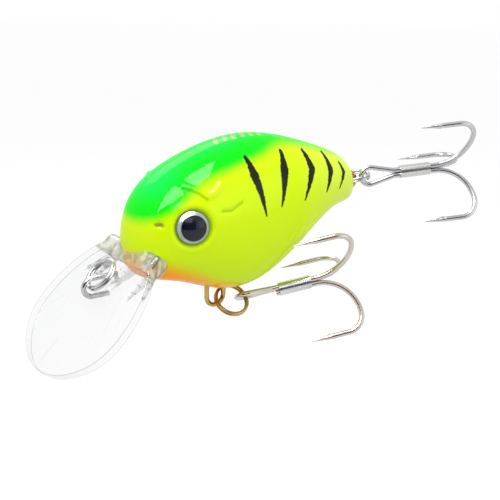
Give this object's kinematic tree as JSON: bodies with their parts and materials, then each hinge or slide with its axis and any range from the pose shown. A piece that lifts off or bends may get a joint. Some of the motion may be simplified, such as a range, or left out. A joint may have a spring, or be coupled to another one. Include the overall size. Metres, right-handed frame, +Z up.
{
  "type": "crankbait fishing lure",
  "caption": "Small hollow crankbait lure with a clear diving bill, 3D eyes, a ring at the line tie and treble hooks that swing on split rings.",
  "frame": {"origin": "centre of the line-tie eye", "axes": "+X from the nose to the tail, +Y to the right flank, +Z up, with the lure level as it swims"},
  "size_m": [0.0941, 0.03, 0.0395],
  "materials": {
    "painted_shell": "gloss",
    "clear_bill": "gloss",
    "clear_dome": "gloss",
    "eye_foil": "gloss",
    "eye_pupil": "gloss",
    "hook_chrome": "gloss",
    "ring_steel": "gloss",
    "braze": "satin",
    "hanger_brass": "gloss",
    "weight_steel": "satin"
  },
  "bodies": {
    "lure": {"line_tie_wire": "ring_steel", "diving_bill": "clear_bill", "belly_hanger": "hanger_brass", "tail_hanger": "hanger_brass", "belly_weight": "weight_steel", "eye_foil_left": "eye_foil", "eye_pupil_left": "eye_pupil", "eye_dome_left": "clear_dome", "eye_foil_right": "eye_foil", "eye_pupil_right": "eye_pupil", "eye_dome_right": "clear_dome", "body_shell_left": "painted_shell", "body_shell_right": "painted_shell"},
    "tie_ring": {"line_tie_ring": "ring_steel"},
    "ball_front": {"rattle_ball_front": "weight_steel"},
    "ball_rear": {"rattle_ball_rear": "weight_steel"},
    "belly_ring": {"belly_ring": "ring_steel"},
    "belly_hook": {"belly_hook_single": "hook_chrome", "belly_hook_pair": "hook_chrome", "belly_hook_braze": "braze"},
    "tail_ring": {"tail_ring": "ring_steel"},
    "tail_hook": {"tail_hook_single": "hook_chrome", "tail_hook_pair": "hook_chrome", "tail_hook_braze": "braze"}
  },
  "joints": [
    {"name": "line_tie_swing", "type": "hinge", "parent": "lure", "child": "tie_ring", "pos_m": [-0.00035, 0, 0], "axis": [0, -1, 0], "range_deg": [0, 150]},
    {"name": "ball_front_roll", "type": "slide", "parent": "lure", "child": "ball_front", "axis": [0, 1, 0], "range_m": [-0.0034, 0.0034]},
    {"name": "ball_rear_roll", "type": "slide", "parent": "lure", "child": "ball_rear", "axis": [0, 1, 0], "range_m": [-0.0034, 0.0034]},
    {"name": "belly_ring_swing", "type": "hinge", "parent": "lure", "child": "belly_ring", "pos_m": [0.02475, -0.00015, -0.00648], "axis": [-0.4888, -0.6691, -0.5598], "range_deg": [-90, 5]},
    {"name": "belly_hook_swing", "type": "hinge", "parent": "belly_ring", "child": "belly_hook", "pos_m": [0.03045, -0.00116, -0.00727], "axis": [0.0688, -0.7675, -0.6374], "range_deg": [-90, 30]},
    {"name": "tail_ring_swing", "type": "hinge", "parent": "lure", "child": "tail_ring", "pos_m": [0.0573, -0.00015, 0.01155], "axis": [0.3516, -0.9319, 0.0892], "range_deg": [-60, 50]},
    {"name": "tail_hook_swing", "type": "hinge", "parent": "tail_ring", "child": "tail_hook", "pos_m": [0.06085, -0.00155, 0.01245], "axis": [-0.8653, -0.4506, -0.2196], "range_deg": [-90, 90]}
  ]
}
